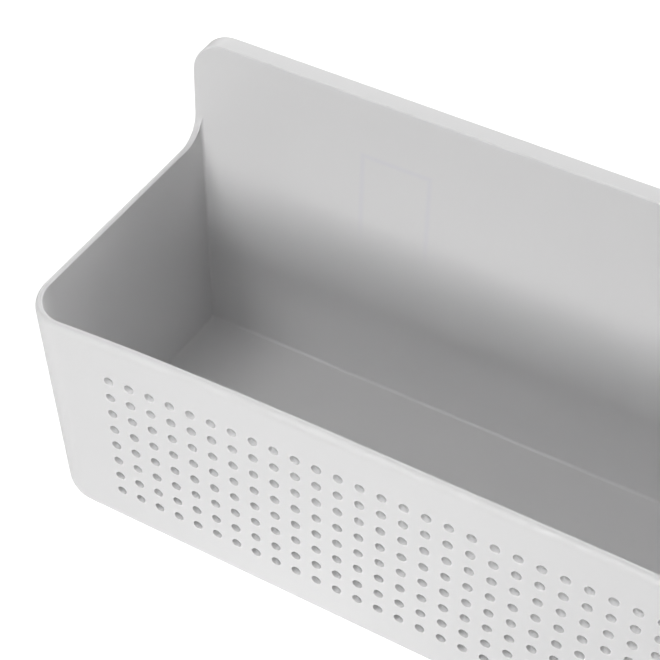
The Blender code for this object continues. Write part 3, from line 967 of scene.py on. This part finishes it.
# Painted shade of the pockets showing through the plate
mark = satin_tree.nodes.new("ShaderNodeGroup")
mark.node_tree = mark_group()
marked = satin_tree.nodes.new("ShaderNodeMix")
marked.data_type = "RGBA"
marked.inputs["B"].default_value = POCKET_SHADE_TONE
wire(satin_tree, mark.outputs["Mask"], marked.inputs["Factor"])
wire(satin_tree, satin_shader.inputs["Base Color"].links[0].from_socket, marked.inputs["A"])
wire(satin_tree, marked.outputs["Result"], satin_shader.inputs["Base Color"])
add_piece("storage_bin_moulding", bin_mesh, "bin", ["storage_bin"], satin_plastic)


# Studio
# A pale floor well below the hung bin and eleven soft white lamps: a key and one under it in front,
# fills from the low left and near the foot, five behind, two overhead.
FLOOR_DROP = 0.45
FLOOR_HALF = 8.0
FLOOR_WHITE = 0.85
FLOOR_ROUGHNESS = 0.9
FLOOR_SEEN = 0.40
SURROUND = 0.015
BIN_MIDDLE = Vector((0, -0.05, 0.06))
BIN_FOOT = Vector((-0.065, -0.105, 0))
floor_mesh = bpy.data.meshes.new("studio_floor")
corners = [(-1, -1), (1, -1), (1, 1), (-1, 1)]
floor_points = [(x * FLOOR_HALF, y * FLOOR_HALF, -FLOOR_DROP) for x, y in corners]
floor_mesh.from_pydata(floor_points, [], [(0, 1, 2, 3)])
floor = bpy.data.objects.new("studio_floor", floor_mesh)
bpy.context.scene.collection.objects.link(floor)


def seen_mask(tree):
    """One where a ray comes from the camera, a gloss or a clear piece: the greatest of the three flags."""
    path = tree.nodes.new("ShaderNodeLightPath")
    mask = path.outputs["Is Camera Ray"]
    for label in ("Is Glossy Ray", "Is Transmission Ray"):
        either = tree.nodes.new("ShaderNodeMath")
        either.operation = "MAXIMUM"
        wire(tree, mask, either.inputs[0])
        wire(tree, path.outputs[label], either.inputs[1])
        mask = either.outputs["Value"]
    return mask


def seen_strength(tree, unseen, seen):
    """The unseen value where the mask is nought and the seen one where it is one."""
    level = tree.nodes.new("ShaderNodeMapRange")
    level.inputs["To Min"].default_value = unseen
    level.inputs["To Max"].default_value = seen
    wire(tree, seen_mask(tree), level.inputs["Value"])
    return level.outputs["Result"]


paint = bpy.data.materials.new("studio_floor_paint")
paint.use_nodes = True
paint_shader = paint.node_tree.nodes["Principled BSDF"]
paint_shader.inputs["Base Color"].default_value = (FLOOR_WHITE, FLOOR_WHITE, FLOOR_WHITE, 1)
paint_shader.inputs["Roughness"].default_value = FLOOR_ROUGHNESS
paint_shader.inputs["Specular IOR Level"].default_value = 0
paint_shader.inputs["Emission Color"].default_value = (1, 1, 1, 1)
paint_strength = seen_strength(paint.node_tree, 0, FLOOR_SEEN)
wire(paint.node_tree, paint_strength, paint_shader.inputs["Emission Strength"])
floor_mesh.materials.append(paint)

world = bpy.data.worlds.new("studio_surround")
world.use_nodes = True
background = world.node_tree.nodes["Background"]
background.inputs["Color"].default_value = (1, 1, 1, 1)
world_strength = seen_strength(world.node_tree, SURROUND, 1)
wire(world.node_tree, world_strength, background.inputs["Strength"])
bpy.context.scene.world = world


def way_from(azimuth, elevation):
    """Unit vector towards an azimuth round from the front and an elevation, both in degrees.

    X is the azimuth's sine and Y minus its cosine, each times the elevation's cosine, and Z is
    the elevation's sine.
    """
    turn, lift = np.radians(azimuth), np.radians(elevation)
    return Vector((np.sin(turn) * np.cos(lift), -np.cos(turn) * np.cos(lift), np.sin(lift)))


def softbox(name, azimuth, elevation, distance, width, height, brightness, aim=BIN_MIDDLE):
    """A soft lamp at an azimuth, elevation and distance from its aim, which it faces.

    Its energy is its brightness times its area times pi, so the brightness is what a mirror
    would show.
    """
    way = way_from(azimuth, elevation)
    data = bpy.data.lights.new(name, "AREA")
    data.shape = "RECTANGLE"
    data.size = width
    data.size_y = height
    data.energy = brightness * width * height * np.pi
    lamp = bpy.data.objects.new(name, data)
    bpy.context.scene.collection.objects.link(lamp)
    lamp.location = aim + distance * way
    lamp.rotation_euler = way.to_track_quat("Z", "Y").to_euler()
    lamp.visible_camera = False


softbox("key_front", -8, 16, 1.0, 0.30, 0.36, 16.0)
softbox("key_lower", -8, 13, 1.0, 0.30, 0.20, 4.8)
softbox("fill_low_left", -45, 4, 1.6, 0.50, 0.18, 3.4)
softbox("low_near", -10, -52, 0.12, 0.10, 0.03, 2.6, BIN_FOOT)
softbox("rear_left", -140, 16, 1.6, 0.80, 0.80, 3.2)
softbox("rear_middle", 180, 22, 1.6, 2.00, 0.30, 5.8)
softbox("rear_high", 150, 35, 1.6, 0.80, 0.60, 4.6)
softbox("rear_right", 115, 18, 1.6, 1.20, 0.80, 1.25)
softbox("rear_steep", 180, 62, 1.6, 1.60, 0.30, 1.8)
softbox("top_left", -50, 60, 1.6, 0.50, 0.50, 4.2)
softbox("top_front", -30, 75, 1.6, 0.80, 0.60, 1.75)

# Camera: the photograph's place, worked out from the grid of holes
CAMERA_PLACE = Vector((0.13976, -0.41231, 0.47298))
CAMERA_AZIMUTH = 30.54
CAMERA_ELEVATION = 44.20
CAMERA_LENS = 102.65
CAMERA_SENSOR = 36.0
CAMERA_NEAR = 0.01
camera_data = bpy.data.cameras.new("camera")
camera_data.lens = CAMERA_LENS
camera_data.sensor_width = CAMERA_SENSOR
camera_data.clip_start = CAMERA_NEAR
camera = bpy.data.objects.new("camera", camera_data)
bpy.context.scene.collection.objects.link(camera)
back_way = way_from(CAMERA_AZIMUTH, CAMERA_ELEVATION)
across_way = (-back_way).cross(Vector((0, 0, 1))).normalized()
up_way = across_way.cross(-back_way)
turned = Matrix((across_way, up_way, back_way)).transposed().to_4x4()
camera.matrix_world = Matrix.Translation(CAMERA_PLACE) @ turned
bpy.context.scene.camera = camera
bpy.context.scene.view_settings.view_transform = "Standard"
